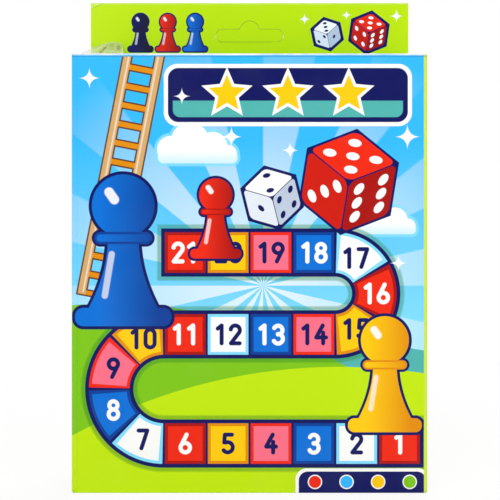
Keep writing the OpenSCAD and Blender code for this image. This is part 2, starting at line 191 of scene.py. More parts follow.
class Tree:
    """A shader's node tree, and the ways of adding to it."""

    def __init__(self, tree):
        self.tree = tree
        self.places = {}

    def node(self, kind, settings=None, sockets=None, output=0):
        """Any node: its settings are set first, then its sockets get values or links."""
        made = self.tree.nodes.new(kind)
        for name, value in (settings or {}).items():
            if name == "stops":
                ramp = made.color_ramp
                while len(ramp.elements) < len(value):
                    ramp.elements.new(1.0)
                for element, (position, colour) in zip(ramp.elements, value):
                    element.position, element.color = position, colour
            elif name == "blending":
                made.color_ramp.interpolation = value
            else:
                setattr(made, name, value)
        for name, value in (sockets or {}).items():
            if isinstance(value, Value):
                self.tree.links.new(value.socket, made.inputs[name])
            else:
                made.inputs[name].default_value = value
        return Value(self, made.outputs[output]) if len(made.outputs) else None

    def math(self, operation, *values, clamp=False):
        made = self.node("ShaderNodeMath", {"operation": operation}, dict(enumerate(values)))
        return made.held() if clamp else made

    def vector(self, operation, *values, output=0):
        return self.node("ShaderNodeVectorMath", {"operation": operation}, dict(enumerate(values)), output)

    def join(self, x, y, z=0.0):
        return self.node("ShaderNodeCombineXYZ", None, {0: x, 1: y, 2: z})

    def mix(self, share, under, over):
        """One colour over another."""
        return self.node("ShaderNodeMix", {"data_type": "RGBA"}, {0: share, 6: under, 7: over}, 2)

    def ramp(self, value, stops, blending):
        return self.node("ShaderNodeValToRGB", {"blending": blending, "stops": stops}, {0: value})

    def place(self, kind="Object"):
        """Object coordinates, or the surface's own direction with Normal."""
        if kind not in self.places:
            self.places[kind] = self.node("ShaderNodeTexCoord", output=kind)
        return self.places[kind]

    def noise(self, scale, detail=2.0, roughness=0.5, stretch=(1.0, 1.0, 1.0), vector=None):
        """Cloudy noise from 0 to 1, scale in waves to a metre."""
        at = self.vector("MULTIPLY", vector or self.place(), stretch)
        sockets = {"Vector": at, "Scale": scale, "Detail": detail, "Roughness": roughness}
        return self.node("ShaderNodeTexNoise", None, sockets)

    def along(self, direction, kind="Object"):
        return self.vector("DOT_PRODUCT", self.place(kind), direction, output=1)


class Spot:
    """A place on a flat print, across and up, in millimetres.

    It is worked out with Vector Math alone, which keeps the shader in the order that it is written."""

    def __init__(self, tree, vector, parts=(None, None)):
        self.tree, self.vector, self.parts = tree, vector, list(parts)

    def part(self, index):
        if self.parts[index] is None:
            way = [0.0, 0.0, 0.0]
            way[index] = 1.0
            self.parts[index] = self.tree.vector("DOT_PRODUCT", self.vector, way, output=1)
        return self.parts[index]

    @property
    def x(self):
        return self.part(0)

    @property
    def y(self):
        return self.part(1)

    def local(self, centre, turn=0.0, size=1.0):
        """The same place seen from a motif's own centre, turn in degrees and unit length."""
        back = (-centre[0] / size, -centre[1] / size, 0.0)
        moved = self.tree.vector("MULTIPLY_ADD", self.vector, (1 / size, 1 / size, 0.0), back)
        if not turn:
            return Spot(self.tree, moved)
        c, s = math.cos(math.radians(turn)), math.sin(math.radians(turn))
        across = self.tree.vector("DOT_PRODUCT", moved, (c, s, 0.0), output=1)
        up = self.tree.vector("DOT_PRODUCT", moved, (-s, c, 0.0), output=1)
        return Spot(self.tree, self.tree.join(across, up), (across, up))


def print_spot(tree, across, up):
    """The print's place from Object coordinates, on two directions of the carton."""
    parts = [tree.along([part / MM for part in way]) for way in (across, up)]
    return Spot(tree, tree.join(*parts), parts)


# Outlines of printed shapes: the distance from each edge, below zero inside

def nearest(*distances):
    least = distances[0]
    for other in distances[1:]:
        least = least.tree.math("MINIMUM", least, other)
    return least


def farthest(*distances):
    most = distances[0]
    for other in distances[1:]:
        most = most.tree.math("MAXIMUM", most, other)
    return most


def disc(spot, centre, radius):
    return spot.tree.vector("DISTANCE", spot.vector, (*centre, 0.0), output=1) - radius


def block(spot, half_w, half_h, corner):
    """A rectangle with rounded corners."""
    tree = spot.tree
    reach = tree.vector("ABSOLUTE", spot.vector)
    over = tree.vector("SUBTRACT", reach, (half_w - corner, half_h - corner, 0.0))
    return tree.vector("LENGTH", tree.vector("MAXIMUM", over, (0.0, 0.0, 0.0)), output=1) - corner


def stroke(spot, start, end, half):
    """A straight pen stroke with round ends."""
    tree = spot.tree
    run = (end[0] - start[0], end[1] - start[1], 0.0)
    off = tree.vector("SUBTRACT", spot.vector, (*start, 0.0))
    ahead = tree.vector("DOT_PRODUCT", off, run, output=1)
    share = tree.math("MULTIPLY", ahead, 1 / (run[0] ** 2 + run[1] ** 2), clamp=True)
    foot = tree.node("ShaderNodeVectorMath", {"operation": "SCALE"}, {0: run, 3: share})
    return tree.vector("DISTANCE", off, foot, output=1) - half


def bend(spot, centre, radius, middle, spread, half):
    """A pen stroke along an arc, spread degrees to each side of its middle."""
    tree = spot.tree
    turned = spot.local(centre, middle)
    side = abs(turned.y)
    ring = abs(tree.vector("LENGTH", turned.vector, output=1) - radius)
    angle = math.radians(spread)
    tip = (radius * math.cos(angle), radius * math.sin(angle), 0.0)
    end = tree.vector("DISTANCE", tree.join(turned.x, side), tip, output=1)
    past = tree.math("ARCTAN2", side, turned.x) > angle
    return ring + past * (end - ring) - half


def new_group(name, sockets, result):
    """A node group with named inputs, as its tree and the values that come in."""
    group = bpy.data.node_groups.new(name, "ShaderNodeTree")
    kinds = {"place": "NodeSocketVector", "under": "NodeSocketColor", "ink": "NodeSocketColor",
             "shade": "NodeSocketColor"}
    for label in sockets:
        group.interface.new_socket(label, in_out="INPUT", socket_type=kinds.get(label, "NodeSocketFloat"))
    kind = "NodeSocketColor" if result == "colour" else "NodeSocketFloat"
    group.interface.new_socket(result, in_out="OUTPUT", socket_type=kind)
    tree = Tree(group)
    first = tree.node("NodeGroupInput")
    return tree, [first.output(index) for index in range(len(sockets))]


def make_numerals():
    """The ten plain numerals, one unit high, as one group that draws the digit it is given."""
    tree, (place, digit) = new_group("numerals", ("place", "digit"), "distance")
    at = Spot(tree, place)
    pen = 0.095
    low, high, left, right = -0.41, 0.41, -0.2, 0.2
    shapes = [
        abs(block(at, 0.21, 0.41, 0.21)) - pen,
        nearest(stroke(at, (0.03, low), (0.03, high), pen), stroke(at, (0.03, high), (-0.15, 0.27), pen)),
        nearest(bend(at, (0.0, 0.2), 0.21, 72, 100, pen), stroke(at, (0.19, 0.1), (left, low), pen),
                stroke(at, (left, low), (right, low), pen)),
        nearest(bend(at, (0.0, 0.2), 0.2, 30, 122, pen), bend(at, (0.0, -0.2), 0.22, -30, 122, pen)),
        nearest(stroke(at, (0.08, high), (-0.22, -0.14), pen), stroke(at, (-0.22, -0.14), (0.23, -0.14), pen),
                stroke(at, (0.1, 0.08), (0.1, low), pen)),
        nearest(stroke(at, (0.18, high), (-0.15, high), pen), stroke(at, (-0.15, high), (-0.18, 0.05), pen),
                bend(at, (-0.02, -0.17), 0.235, -15, 128, pen)),
        nearest(abs(disc(at, (0.0, -0.19), 0.215)) - pen, stroke(at, (-0.2, -0.12), (0.06, high), pen)),
        nearest(stroke(at, (left, high), (right, high), pen), stroke(at, (right, high), (-0.07, low), pen)),
        nearest(abs(disc(at, (0.0, 0.21), 0.185)) - pen, abs(disc(at, (0.0, -0.2), 0.215)) - pen),
        nearest(abs(disc(at, (0.0, 0.19), 0.215)) - pen, stroke(at, (0.2, 0.12), (-0.06, low), pen)),
    ]
    chosen = 0.0
    for number, shape in enumerate(shapes):
        chosen = tree.math("MULTIPLY_ADD", tree.math("COMPARE", digit, float(number), 0.5), shape, chosen)
    tree.node("NodeGroupOutput", None, {"distance": chosen})
    return tree.tree


NUMERALS = make_numerals()
NUMERAL_STEP = 0.33


def make_number():
    """A plain number of one or two digits, one unit high, from its middle."""
    tree, (place, value) = new_group("number", ("place", "value"), "distance")
    at = Spot(tree, place)
    two = value > 9.5
    ones_at = tree.join(at.x - two * NUMERAL_STEP, at.y)
    ones = tree.node("ShaderNodeGroup", {"node_tree": NUMERALS}, {"place": ones_at, "digit": value % 10.0})
    tens_at = tree.join(at.x + NUMERAL_STEP, at.y)
    tens = tree.node("ShaderNodeGroup", {"node_tree": NUMERALS},
                     {"place": tens_at, "digit": (value / 10.0).floor()})
    tree.node("NodeGroupOutput", None, {"distance": nearest(ones, tens + (1.0 - two))})
    return tree.tree


NUMBER = make_number()


class Print:
    """Inks laid over one another on a sheet."""

    def __init__(self, spot, ground):
        self.spot, self.tree, self.colour = spot, spot.tree, ground

    def lay(self, distance, colour, share=1.0, soft=PRINT_EDGE):
        """Ink inside an outline, up to a share of its full strength."""
        cover = self.tree.math("MULTIPLY_ADD", distance, -1.0 / soft, 0.5)
        self.tint(cover if share == 1.0 else self.tree.math("MINIMUM", cover, share), colour)

    def tint(self, share, colour):
        """Ink all over. The Mix node keeps the share between 0 and 1."""
        self.colour = self.tree.mix(share, self.colour, colour)

    def number(self, value, x, y, height, colour, within):
        """A plain number, x and y from its middle."""
        tree = self.tree
        sockets = {"place": tree.join(x / height, y / height), "value": value}
        shape = tree.node("ShaderNodeGroup", {"node_tree": NUMBER}, sockets)
        self.lay(farthest(shape * height, within), colour)

    def motif(self, group, sockets):
        """A motif that is kept as a group, laid over what is there."""
        sockets = {"under": self.colour, **sockets}
        self.colour = self.tree.node("ShaderNodeGroup", {"node_tree": group}, sockets)


# Motifs of the print

PIPS = {
    1: [(0.0, 0.0)],
    2: [(-0.25, -0.25), (0.25, 0.25)],
    3: [(-0.26, -0.26), (0.0, 0.0), (0.26, 0.26)],
    4: [(-0.25, -0.25), (0.25, 0.25), (-0.25, 0.25), (0.25, -0.25)],
    5: [(-0.26, -0.26), (0.26, 0.26), (-0.26, 0.26), (0.26, -0.26), (0.0, 0.0)],
    6: [(-0.25, -0.27), (0.25, 0.27), (-0.25, 0.27), (0.25, -0.27), (-0.25, 0.0), (0.25, 0.0)],
}


def make_die_face(count):
    """One face of a printed die, an edge long, with its pips."""
    tree, (under, place, edge, body, pip) = new_group(
        f"die_face_{count}", ("under", "place", "edge", "ink", "shade"), "colour")
    page = Print(Spot(tree, place), under)
    page.lay(block(page.spot, 0.485, 0.485, 0.13) * edge, body)
    page.lay(nearest(*[disc(page.spot, centre, 0.105) for centre in PIPS[count]]) * edge, pip)
    tree.node("NodeGroupOutput", None, {"colour": page.colour})
    return tree.tree


DIE_FACES = {count: make_die_face(count) for count in PIPS}
RED_DIE = (RED, ink(206, 26, 8), DEEP_RED)
WHITE_DIE = (WHITE, ink(226, 232, 240), ink(188, 200, 218))
SLANT = 0.866


def draw_die(page, centre, edge, turn, faces, inks, pip_ink):
    """A die in the round: three faces with pips, and a dark line about them."""
    tree = page.tree
    at = page.spot.local(centre, turn, edge)
    wide, tall = abs(at.x), abs(at.y)
    outline = (farthest(wide, wide * 0.5 + tall * SLANT) - 0.83) * edge
    page.lay(outline - 1.6, NAVY)
    slope = at.x / math.sqrt(3)
    left, right = at.x / -SLANT, at.x / SLANT
    sides = [
        (at.y - slope, at.y + slope),
        (left, left * 0.5 - at.y),
        (right, right * 0.5 - at.y),
    ]
    for (across, up), count, colour in zip(sides, faces, inks):
        page.motif(DIE_FACES[count], {"place": tree.join(across - 0.5, up - 0.5), "edge": edge,
                                      "ink": colour, "shade": pip_ink})


def make_pawn():
    """A turned pawn, one unit high: ball head, collar, flared skirt and base, lit from the left."""
    tree, (under, place, height, line, colour, shade) = new_group(
        "pawn", ("under", "place", "height", "line", "ink", "shade"), "colour")
    at = Spot(tree, place)
    page = Print(at, under)
    down = tree.math("SUBTRACT", 1.0, at.y / 0.58, clamp=True)
    skirt = farthest(abs(at.x) - (down * down * 0.2 + 0.1), at.y - 0.58, 0.04 - at.y)
    head = disc(at, (0.0, 0.785), 0.205)
    collar = block(at.local((0.0, 0.575)), 0.185, 0.036, 0.036)
    base = block(at.local((0.0, 0.06)), 0.315, 0.06, 0.055)
    shape = nearest(head, collar, skirt, base) * height
    page.lay(shape - line, NAVY)
    page.lay(shape, tree.mix(at.x * 2.6 + 0.42, colour, shade))
    page.lay(farthest(collar - 0.004, -0.012 - collar) * height, shade)
    page.lay(block(at.local((-0.075, 0.85), 35), 0.03, 0.06, 0.03) * height, WHITE, 0.85, 0.6)
    page.lay(stroke(at, (-0.075, 0.47), (-0.12, 0.2), 0.018) * height, WHITE, 0.55, 0.8)
    tree.node("NodeGroupOutput", None, {"colour": page.colour})
    return tree.tree


PAWN = make_pawn()


def draw_pawn(page, foot, height, colour, shade, line=1.0):
    """A printed pawn that stands on its foot."""
    page.motif(PAWN, {"place": page.spot.local(foot, 0.0, height).vector, "height": height, "line": line,
                      "ink": colour, "shade": shade})


def draw_ladder(page, middle, turn, length, width):
    """A plain ladder of two rails with even rungs."""
    at = page.spot.local(middle, turn)
    pitch, rail, rung = 8.5, 1.7, 1.15
    ends = abs(at.y) - length / 2
    rails = farthest(abs(abs(at.x) - width / 2) - rail, ends)
    steps = at.tree.math("FRACT", at.y / pitch)
    rungs = farthest(abs(steps - 0.5) * pitch - rung, abs(at.x) - width / 2, ends)
    page.lay(nearest(rails, rungs) - 0.7, BROWN)
    page.lay(rungs, AMBER)
    page.lay(rails, TAN)
    page.lay(farthest(abs(abs(at.x) - width / 2 + 0.6) - 0.35, ends + 1.0), WHITE, 0.45)


def draw_cloud(page, centre, size):
    """A flat-bottomed cloud."""
    at = page.spot.local(centre, 0.0, size)
    puffs = [((-0.55, 0.12), 0.3), ((-0.12, 0.3), 0.42), ((0.38, 0.18), 0.33), ((0.72, 0.02), 0.2)]
    shape = nearest(block(at.local((0.05, -0.06)), 0.88, 0.13, 0.12), *[disc(at, c, r) for c, r in puffs])
    page.lay(shape * size - 1.3, PALE_SKY, 0.8)
    page.lay(shape * size, WHITE)
    page.lay(shape * size, PALE_SKY, at.y * -1.6 + 0.18)


def draw_glints(page, places, colour):
    """Small four-pointed glints."""
    for x, y, size in places:
        at = page.spot.local((x, y), 0.0, size)
        reach = (abs(at.x) ** 0.5 + abs(at.y) ** 0.5 - 1.0) * size
        page.lay(reach, colour, 1.0, 0.5)


def draw_stars(page, centre, pitch, radius, colour, line):
    """Three five-pointed stars in a row."""
    at = page.spot.local(centre)
    tree = page.tree
    which = tree.math("MINIMUM", tree.math("MAXIMUM", tree.math("ROUND", at.x / pitch), -1.0), 1.0)
    across = at.x - which * pitch
    step = math.tau / 5
    angle = tree.math("ARCTAN2", across, at.y)
    folded = abs(angle - tree.math("ROUND", angle / step) * step)
    reach = tree.vector("LENGTH", tree.join(across, at.y), output=1)
    inner = 0.46 * radius
    edge = Vector((inner * math.cos(step / 2) - radius, inner * math.sin(step / 2)))
    out = Vector((edge.y, -edge.x)).normalized()
    ahead = reach * tree.math("COSINE", folded) - radius
    shape = ahead * out.x + reach * tree.math("SINE", folded) * out.y
    page.lay(shape - 1.3, line)
    page.lay(shape, colour)


TILE = 19.0
TRACK_HALF = 9.5
TRACK_START = (76.0, 22.0)
TILE_INKS = [YELLOW, RED, WHITE, BLUE, PINK]
TILE_SHADES = [AMBER, DEEP_RED, PALE_SKY, DEEP_BLUE, RED]
NUMBER_INKS = [NAVY, WHITE, NAVY, WHITE, NAVY]


def ink_cycle(number):
    """Where a square is in the row of inks, which are taken in turn."""
    count = float(len(TILE_INKS))
    return (number % count) / count + 0.5 / count


def square_ink(cycle, inks):
    """The ink of a square, from its place in the row."""
    stops = [(index / len(inks), colour) for index, colour in enumerate(inks)]
    return cycle.tree.ramp(cycle, stops, "CONSTANT")


class Track:
    """A winding row of squares: which square a spot is on, and where on it."""

    def __init__(self, spot, start):
        self.spot, self.tree = spot, spot.tree
        self.at, self.count, self.heading = start, 0, -1
        self.number = self.dx = self.dy = self.inside = 0.0
        self.edge = None

    def add(self, squares, ahead, across, square_x, square_y):
        """One stretch: the way ahead along it, the way across it, and its squares' middles."""
        length = squares * TILE
        index = (ahead / TILE).floor()
        outside = farthest(abs(across) - TRACK_HALF, abs(ahead - length / 2) - length / 2)
        here = outside < 0.0
        seam = abs(ahead - index * TILE - TILE / 2) - TILE / 2
        middle = (index + 0.5) * TILE
        self.number = here * (index + float(self.count + 1)) + self.number
        self.dx = here * (self.spot.x - square_x(middle)) + self.dx
        self.dy = here * (self.spot.y - square_y(middle)) + self.dy
        inside = farthest(seam, outside)
        self.inside = inside if self.edge is None else nearest(self.inside, inside)
        self.edge = outside if self.edge is None else nearest(self.edge, outside)
        self.count += squares

    def row(self, squares):
        x0, y0 = self.at
        heading = self.heading
        ahead = (self.spot.x - x0) * float(heading)
        self.add(squares, ahead, self.spot.y - y0, lambda m: m * float(heading) + x0, lambda m: y0)
        self.at = (x0 + heading * squares * TILE, y0)

    def turn(self, squares):
        """Half a round, upwards, which turns the heading about."""
        x0, y0 = self.at
        heading = float(self.heading)
        radius = squares * TILE / math.pi
        tree = self.tree
        across, up = (self.spot.x - x0) * heading, self.spot.y - (y0 + radius)
        ahead = tree.math("ARCTAN2", across, -up) * radius
        reach = tree.vector("LENGTH", tree.join(across, up), output=1) - radius
        self.add(
            squares, ahead, reach,
            lambda m: tree.math("SINE", m / radius) * (radius * heading) + x0,
            lambda m: tree.math("COSINE", m / radius) * -radius + (y0 + radius),
        )
        self.at = (x0, y0 + 2 * radius)
        self.heading = -self.heading


def draw_track(page):
    """The winding track of numbered squares."""
    track = Track(page.spot, TRACK_START)
    track.row(6)
    track.turn(4)
    track.row(4)
    track.turn(3)
    track.row(4)
    tree = page.tree
    page.lay(track.edge - 2.6, DEEP_GREEN, 0.55, 1.6)
    page.lay(track.edge - 1.2, NAVY)
    cycle = ink_cycle(track.number)
    page.lay(track.inside + 0.5, square_ink(cycle, TILE_SHADES))
    raised = tree.math("MINIMUM", track.inside + 0.5, 0.0)
    page.lay(raised + 1.3, square_ink(cycle, TILE_INKS))
    page.number(track.number, track.dx, track.dy, 9.6, square_ink(cycle, NUMBER_INKS), track.inside + 1.0)


TAB_AT = 50.0
TAB_RISE = 2.0


def draw_tab(page, at):
    """The dark tab that runs round the bottom fold."""
    page.lay(block(at, 29.6, 9.0, 5.0), WHITE)
    page.lay(block(at, 28.2, 7.6, 4.0), NAVY)


def front_picture(spot):
    """The front's print: sky and hills, a winding track, dice, pawns, a ladder and a starred plate."""
    tree = spot.tree
    page = Print(spot, tree.mix(tree.math("MULTIPLY_ADD", spot.y, 0.011, -0.72, clamp=True), PALE_SKY, SKY))
    middle = spot.local((6.0, 92.0))
    fan = tree.math("SINE", tree.math("ARCTAN2", middle.x, middle.y) * 14.0)
    fade = tree.math("SUBTRACT", 1.0, tree.vector("LENGTH", middle.vector, output=1) / 118.0, clamp=True)
    page.tint(tree.math("MULTIPLY_ADD", fan, 7.0, 0.5, clamp=True) * fade * 0.75, WHITE)
    draw_cloud(page, (-24.0, 150.0), 20.0)
    draw_cloud(page, (58.0, 118.0), 17.0)
    page.lay(disc(spot, (48.0, -92.0), 158.0), TEAL)
    page.lay(disc(spot, (-62.0, -128.0), 212.0), GREEN)
    page.lay(disc(spot, (40.0, -190.0), 246.0), LIME)
    draw_ladder(page, (-57.0, 142.0), -11.0, 112.0, 14.0)
    draw_track(page)
    draw_die(page, (44.0, 138.0), 23.0, -9.0, (5, 3, 6), RED_DIE, WHITE)
    draw_die(page, (10.0, 131.0), 13.5, 14.0, (2, 1, 4), WHITE_DIE, NAVY)
    draw_pawn(page, (-56.0, 74.0), 68.0, BLUE, DEEP_BLUE, 1.4)
    draw_pawn(page, (60.0, 27.0), 52.0, YELLOW, AMBER, 1.3)
    draw_pawn(page, (-15.0, 104.0), 36.0, RED, DEEP_RED, 1.1)
    plate = spot.local((17.0, 176.5))
    page.lay(block(plate, 55.0, 13.8, 6.0), WHITE)
    page.lay(block(plate, 53.2, 12.0, 4.6), NAVY)
    page.lay(farthest(block(plate, 51.0, 9.8, 3.2), plate.y + 2.5), TEAL)
    draw_stars(page, (17.0, 177.0), 27.0, 8.6, YELLOW, WHITE)
    draw_glints(page, [(-8.0, 158.0, 5.0), (70.0, 158.0, 6.0), (66.0, 102.0, 4.0), (18.0, 152.0, 4.0),
                       (-71.0, 184.0, 5.0), (-30.0, 176.0, 4.0)], WHITE)
    draw_tab(page, spot.local((TAB_AT, TAB_RISE)))
    for step, colour in enumerate([RED, SKY, YELLOW, GREEN]):
        counter = disc(spot, (29.0 + 14.0 * step, 5.0), 2.7)
        page.lay(counter - 0.5, WHITE)
        page.lay(counter, colour)
    return page


def header_picture(spot):
    """The header's print: lime, with pawns to the left of the slot and dice to the right, and painted shade
    and a painted highlight along its creases.
    """
    page = Print(spot, LIME)
    pawns = [(NAVY, BLACK), (RED, DEEP_RED), (BLUE, DEEP_BLUE)]
    for step, (colour, shade) in enumerate(pawns):
        draw_pawn(page, (-53.5 + 13.4 * step, 205.2), 18.5, colour, shade, 0.7)
    draw_die(page, (38.0, 213.6), 7.2, 12.0, (3, 2, 1), WHITE_DIE, NAVY)
    draw_die(page, (58.5, 214.4), 9.6, -8.0, (5, 4, 6), RED_DIE, WHITE)
    draw_glints(page, [(27.0, 221.0, 3.0), (72.0, 222.5, 3.4), (47.5, 223.0, 2.6)], WHITE)
    # Painted shade along the crease under the slot
    page.lay(block(spot.local((-2.0, 209.8)), 12.5, 0.25, 0.25), DEEP_LIME, 0.3, 0.9)
    # Painted shade and a painted highlight along the dented crease at the top-left corner
    page.lay(stroke(spot, (-78.0, 225.9), (-71.8, 228.8), 0.1), DEEP_LIME, 0.35, 0.6)
    page.lay(stroke(spot, (-78.0, 226.5), (-72.4, 229.2), 0.1), WHITE, 0.14, 0.7)
    return page


SIDE_PITCH = 16.5
SIDE_SQUARE = 6.6


def side_picture(spot):
    """The sides' print: lime, with one column of numbered squares."""
    tree = spot.tree
    page = Print(spot, LIME_WRAP)
    rise = (spot.y - 14.0) / SIDE_PITCH
    index = rise.floor()
    up = (rise - index - 0.5) * SIDE_PITCH
    ends = abs(spot.y - 96.5) - 82.4
    square = block(Spot(tree, tree.join(spot.x, up)), SIDE_SQUARE, SIDE_SQUARE, 1.4)
    square = farthest(square, ends)
    cycle = ink_cycle(index)
    page.lay(farthest(abs(spot.x) - 0.8, ends), NAVY)
    page.lay(square - 0.9, NAVY)
    page.lay(square, square_ink(cycle, TILE_INKS))
    page.number(index + 1.0, spot.x, up, 7.4, square_ink(cycle, NUMBER_INKS), square)
    return page


GRID_SQUARES = 9
GRID_PITCH = 13.4
GRID_LOW = 50.0


def back_picture(spot):
    """The back's print: a small picture of a numbered game board on lime."""
    tree = spot.tree
    page = Print(spot, LIME)
    size = GRID_SQUARES * GRID_PITCH
    frame_at = spot.local((0.0, GRID_LOW + size / 2))
    page.lay(block(frame_at, size / 2 + 7.0, size / 2 + 7.0, 6.0), WHITE)
    page.lay(block(frame_at, size / 2 + 5.6, size / 2 + 5.6, 4.8), NAVY)
    across, rise = (frame_at.x + size / 2) / GRID_PITCH, (frame_at.y + size / 2) / GRID_PITCH
    column, row = across.floor(), rise.floor()
    dx, dy = (across - column - 0.5) * GRID_PITCH, (rise - row - 0.5) * GRID_PITCH
    square = farthest(block(Spot(tree, tree.join(dx, dy)), 6.3, 6.3, 0.9),
                      block(frame_at, size / 2, size / 2, 0.5))
    cycle = ink_cycle(column * 2.0 + row)
    page.lay(square, square_ink(cycle, TILE_INKS))
    back_row = row % 2.0
    step = column + back_row * (float(GRID_SQUARES - 1) - column * 2.0)
    page.number(row * float(GRID_SQUARES) + step + 1.0, dx, dy, 6.0,
                square_ink(cycle, NUMBER_INKS), square)
    tab = spot.local((0.0, 22.0))
    page.lay(block(tab, 62.0, 13.0, 5.0), NAVY)
    page.lay(farthest(block(tab, 60.0, 11.0, 3.6), tab.y + 3.0), TEAL)
    pawns = [(RED, DEEP_RED), (BLUE, DEEP_BLUE), (YELLOW, AMBER), (GREEN, DEEP_GREEN)]
    for index, (colour, shade) in enumerate(pawns):
        draw_pawn(page, (-30.0 + 20.0 * index, 12.5), 20.0, colour, shade, 0.8)
    return page


WRAP_W = 1.7


def draw_wrap(page):
    """The side's lime, carried round the right-hand fold."""
    page.lay(HALF_W - WRAP_W - page.spot.x, LIME_WRAP)


def sky_picture(spot):
    """The top's print: the front's sky carried over the fold."""
    page = Print(spot, SKY)
    draw_glints(page, [(-34.0, 2.0, 4.0), (8.0, 8.0, 5.0), (44.0, -2.0, 4.0)], WHITE)
    return page


def sky_fold(spot):
    """The same sky over the fold, with the side's lime at its right end."""
    page = Print(spot, SKY)
    draw_wrap(page)
    return page


def lime_picture(spot):
    """Plain lime, for the bottom and the flaps."""
    return Print(spot, LIME_WRAP)


def foot_picture(spot):
    """The bottom's print: the front's lime and its tab, carried under the fold."""
    page = Print(spot, LIME)
    draw_tab(page, spot.local((TAB_AT, -HALF_D)))
    draw_wrap(page)
    return page


def plain_header(spot):
    """The header's lime, for the slot flap and the fold under the front."""
    return Print(spot, LIME)


# Finishes

def new_material(name):
    material = bpy.data.materials.new(name)
    material.use_nodes = True
    material.node_tree.nodes.clear()
    return material, Tree(material.node_tree)


def finish(tree, colour, roughness, height, alpha=1.0, specular_level=0.5):
    """The shader: colour, roughness, bump and cover vary, and a plain value is set on its own socket."""
    shader = tree.node("ShaderNodeBsdfPrincipled", None, {
        "Base Color": colour,
        "Roughness": roughness,
        "Normal": tree.node("ShaderNodeBump", None, {"Height": height, "Distance": 1.0}),
        "Alpha": alpha,
        "Specular IOR Level": specular_level,
    })
    tree.node("ShaderNodeOutputMaterial", None, {"Surface": shader})


def facing(tree, direction):
    """1 on faces that look one way, 0 on the others."""
    return tree.math("MULTIPLY_ADD", tree.along(direction, "Normal"), 4.0, -1.0, clamp=True)


def wrap_outside(tree):
    """1 on the outer faces of the four walls and their upright folds, 0 inside and on the cuts."""
    level = tree.vector("MULTIPLY", tree.place(), (1.0, 1.0, 0.0))
    out = tree.vector("DOT_PRODUCT", level, tree.place("Normal"), output=1)
    return tree.math("MULTIPLY_ADD", out, 400.0, -2.0, clamp=True)


VARNISH = 0.15
BOARD_WAVE = 3.0e-4
BOARD_FIBRE = 6.0e-6
GROOVE_HALF = 0.5
GROOVE_DEPTH = 6.0e-5


def fold_wear_and_highlight(page, from_fold, share):
    """Ink paled along a fold, more in some places than in others: partly rubbed wear, partly a painted
    highlight.
    """
    tree = page.tree
    near = tree.math("SUBTRACT", 1.0, from_fold / FOLD_PALE_REACH, clamp=True)
    page.tint(near * (tree.noise(90.0, 3.0, 0.6) * 1.2 - 0.1) * share, WHITE)


def boxboard(name, picture, across, up, outside, folds=()):
    """Folding boxboard: ink under gloss varnish outside, bare grey fibre inside and at the cuts.

    A fold is a direction, its place along it in millimetres, the share of its paling, which is rubbed wear
    with a painted highlight, and the distance and the share of the painted shade in a faint second crease
    beside it. With no outside given, every face is printed."""
    material, tree = new_material(name)
    spot = print_spot(tree, across, up)
    page = picture(spot)
    wave = tree.noise(16.0, 1.0, 0.4)
    fibre = tree.noise(1300.0, 3.0, 0.6)
    height = wave * BOARD_WAVE + fibre * BOARD_FIBRE
    for direction, place, paling, beside, groove_shade in folds:
        from_fold = abs(tree.along([part / MM for part in direction]) - place)
        # Paled along the fold: rubbed wear, with a painted highlight on the fold
        fold_wear_and_highlight(page, from_fold, paling)
        if groove_shade:
            # Painted shade: the second crease is darkened with black ink, besides being pressed in by the bump
            groove = tree.math("SUBTRACT", 1.0, abs(from_fold - beside) / GROOVE_HALF, clamp=True)
            page.tint(groove * groove_shade, BLACK)
            height = height - groove * GROOVE_DEPTH
    page.tint(tree.noise(34.0, 3.0, 0.6) * 0.03 - 0.015, WHITE)
    if outside is None:
        finish(tree, page.colour, 0.26 + fibre * 0.12, height, specular_level=VARNISH)
        return material
    fleck = tree.math("MULTIPLY_ADD", tree.noise(900.0, 2.0, 0.7, (1.0, 1.0, 0.35)), 9.0, -5.2, clamp=True)
    bare = tree.mix(fleck * 0.6, tree.mix(fibre, BARE_BOARD, CUT_EDGE), BARE_FLECK)
    shown = outside(tree) if callable(outside) else facing(tree, outside)
    gloss = 0.86 - shown * 0.54 + (fibre - 0.5) * 0.12
    finish(tree, tree.mix(shown, bare, page.colour), gloss, height, specular_level=VARNISH)
    return material


def moulded(name, colour, shade, roughness, seam=None):
    """Moulded plastic: faint flow marks and a parting line where it has one."""
    material, tree = new_material(name)
    flow = tree.noise(120.0, 3.0, 0.55)
    body = tree.mix(tree.math("MULTIPLY_ADD", flow, 1.6, -0.55, clamp=True) * 0.35, colour, shade)
    height = flow * 3.0e-5 + tree.noise(2600.0, 2.0, 0.5) * 2.0e-6
    if seam is not None:
        line = tree.math("SUBTRACT", 1.0, abs(tree.along((0.0, 1.0, 0.0)) - seam) / 1.2e-4, clamp=True)
        height = height + line * 6.0e-5
        body = tree.mix(line * 0.35, body, shade)
    finish(tree, body, roughness + (flow - 0.5) * 0.12, height)
    return material


def sheer_tray():
    """Thin white sheet, drawn over a mould: milky, with stretch marks down the walls."""
    material, tree = new_material("tray_sheet")
    stretch = tree.noise(160.0, 3.0, 0.6, (1.0, 0.25, 1.0))
    body = tree.mix(stretch * 0.5, ink(238, 240, 242), ink(214, 219, 224))
    finish(tree, body, 0.3 + stretch * 0.14, stretch * 4.0e-5)
    return material


LEAF_COLUMNS = 4
LEAF_ROWS = 5
LEAF_HALF = 75.0


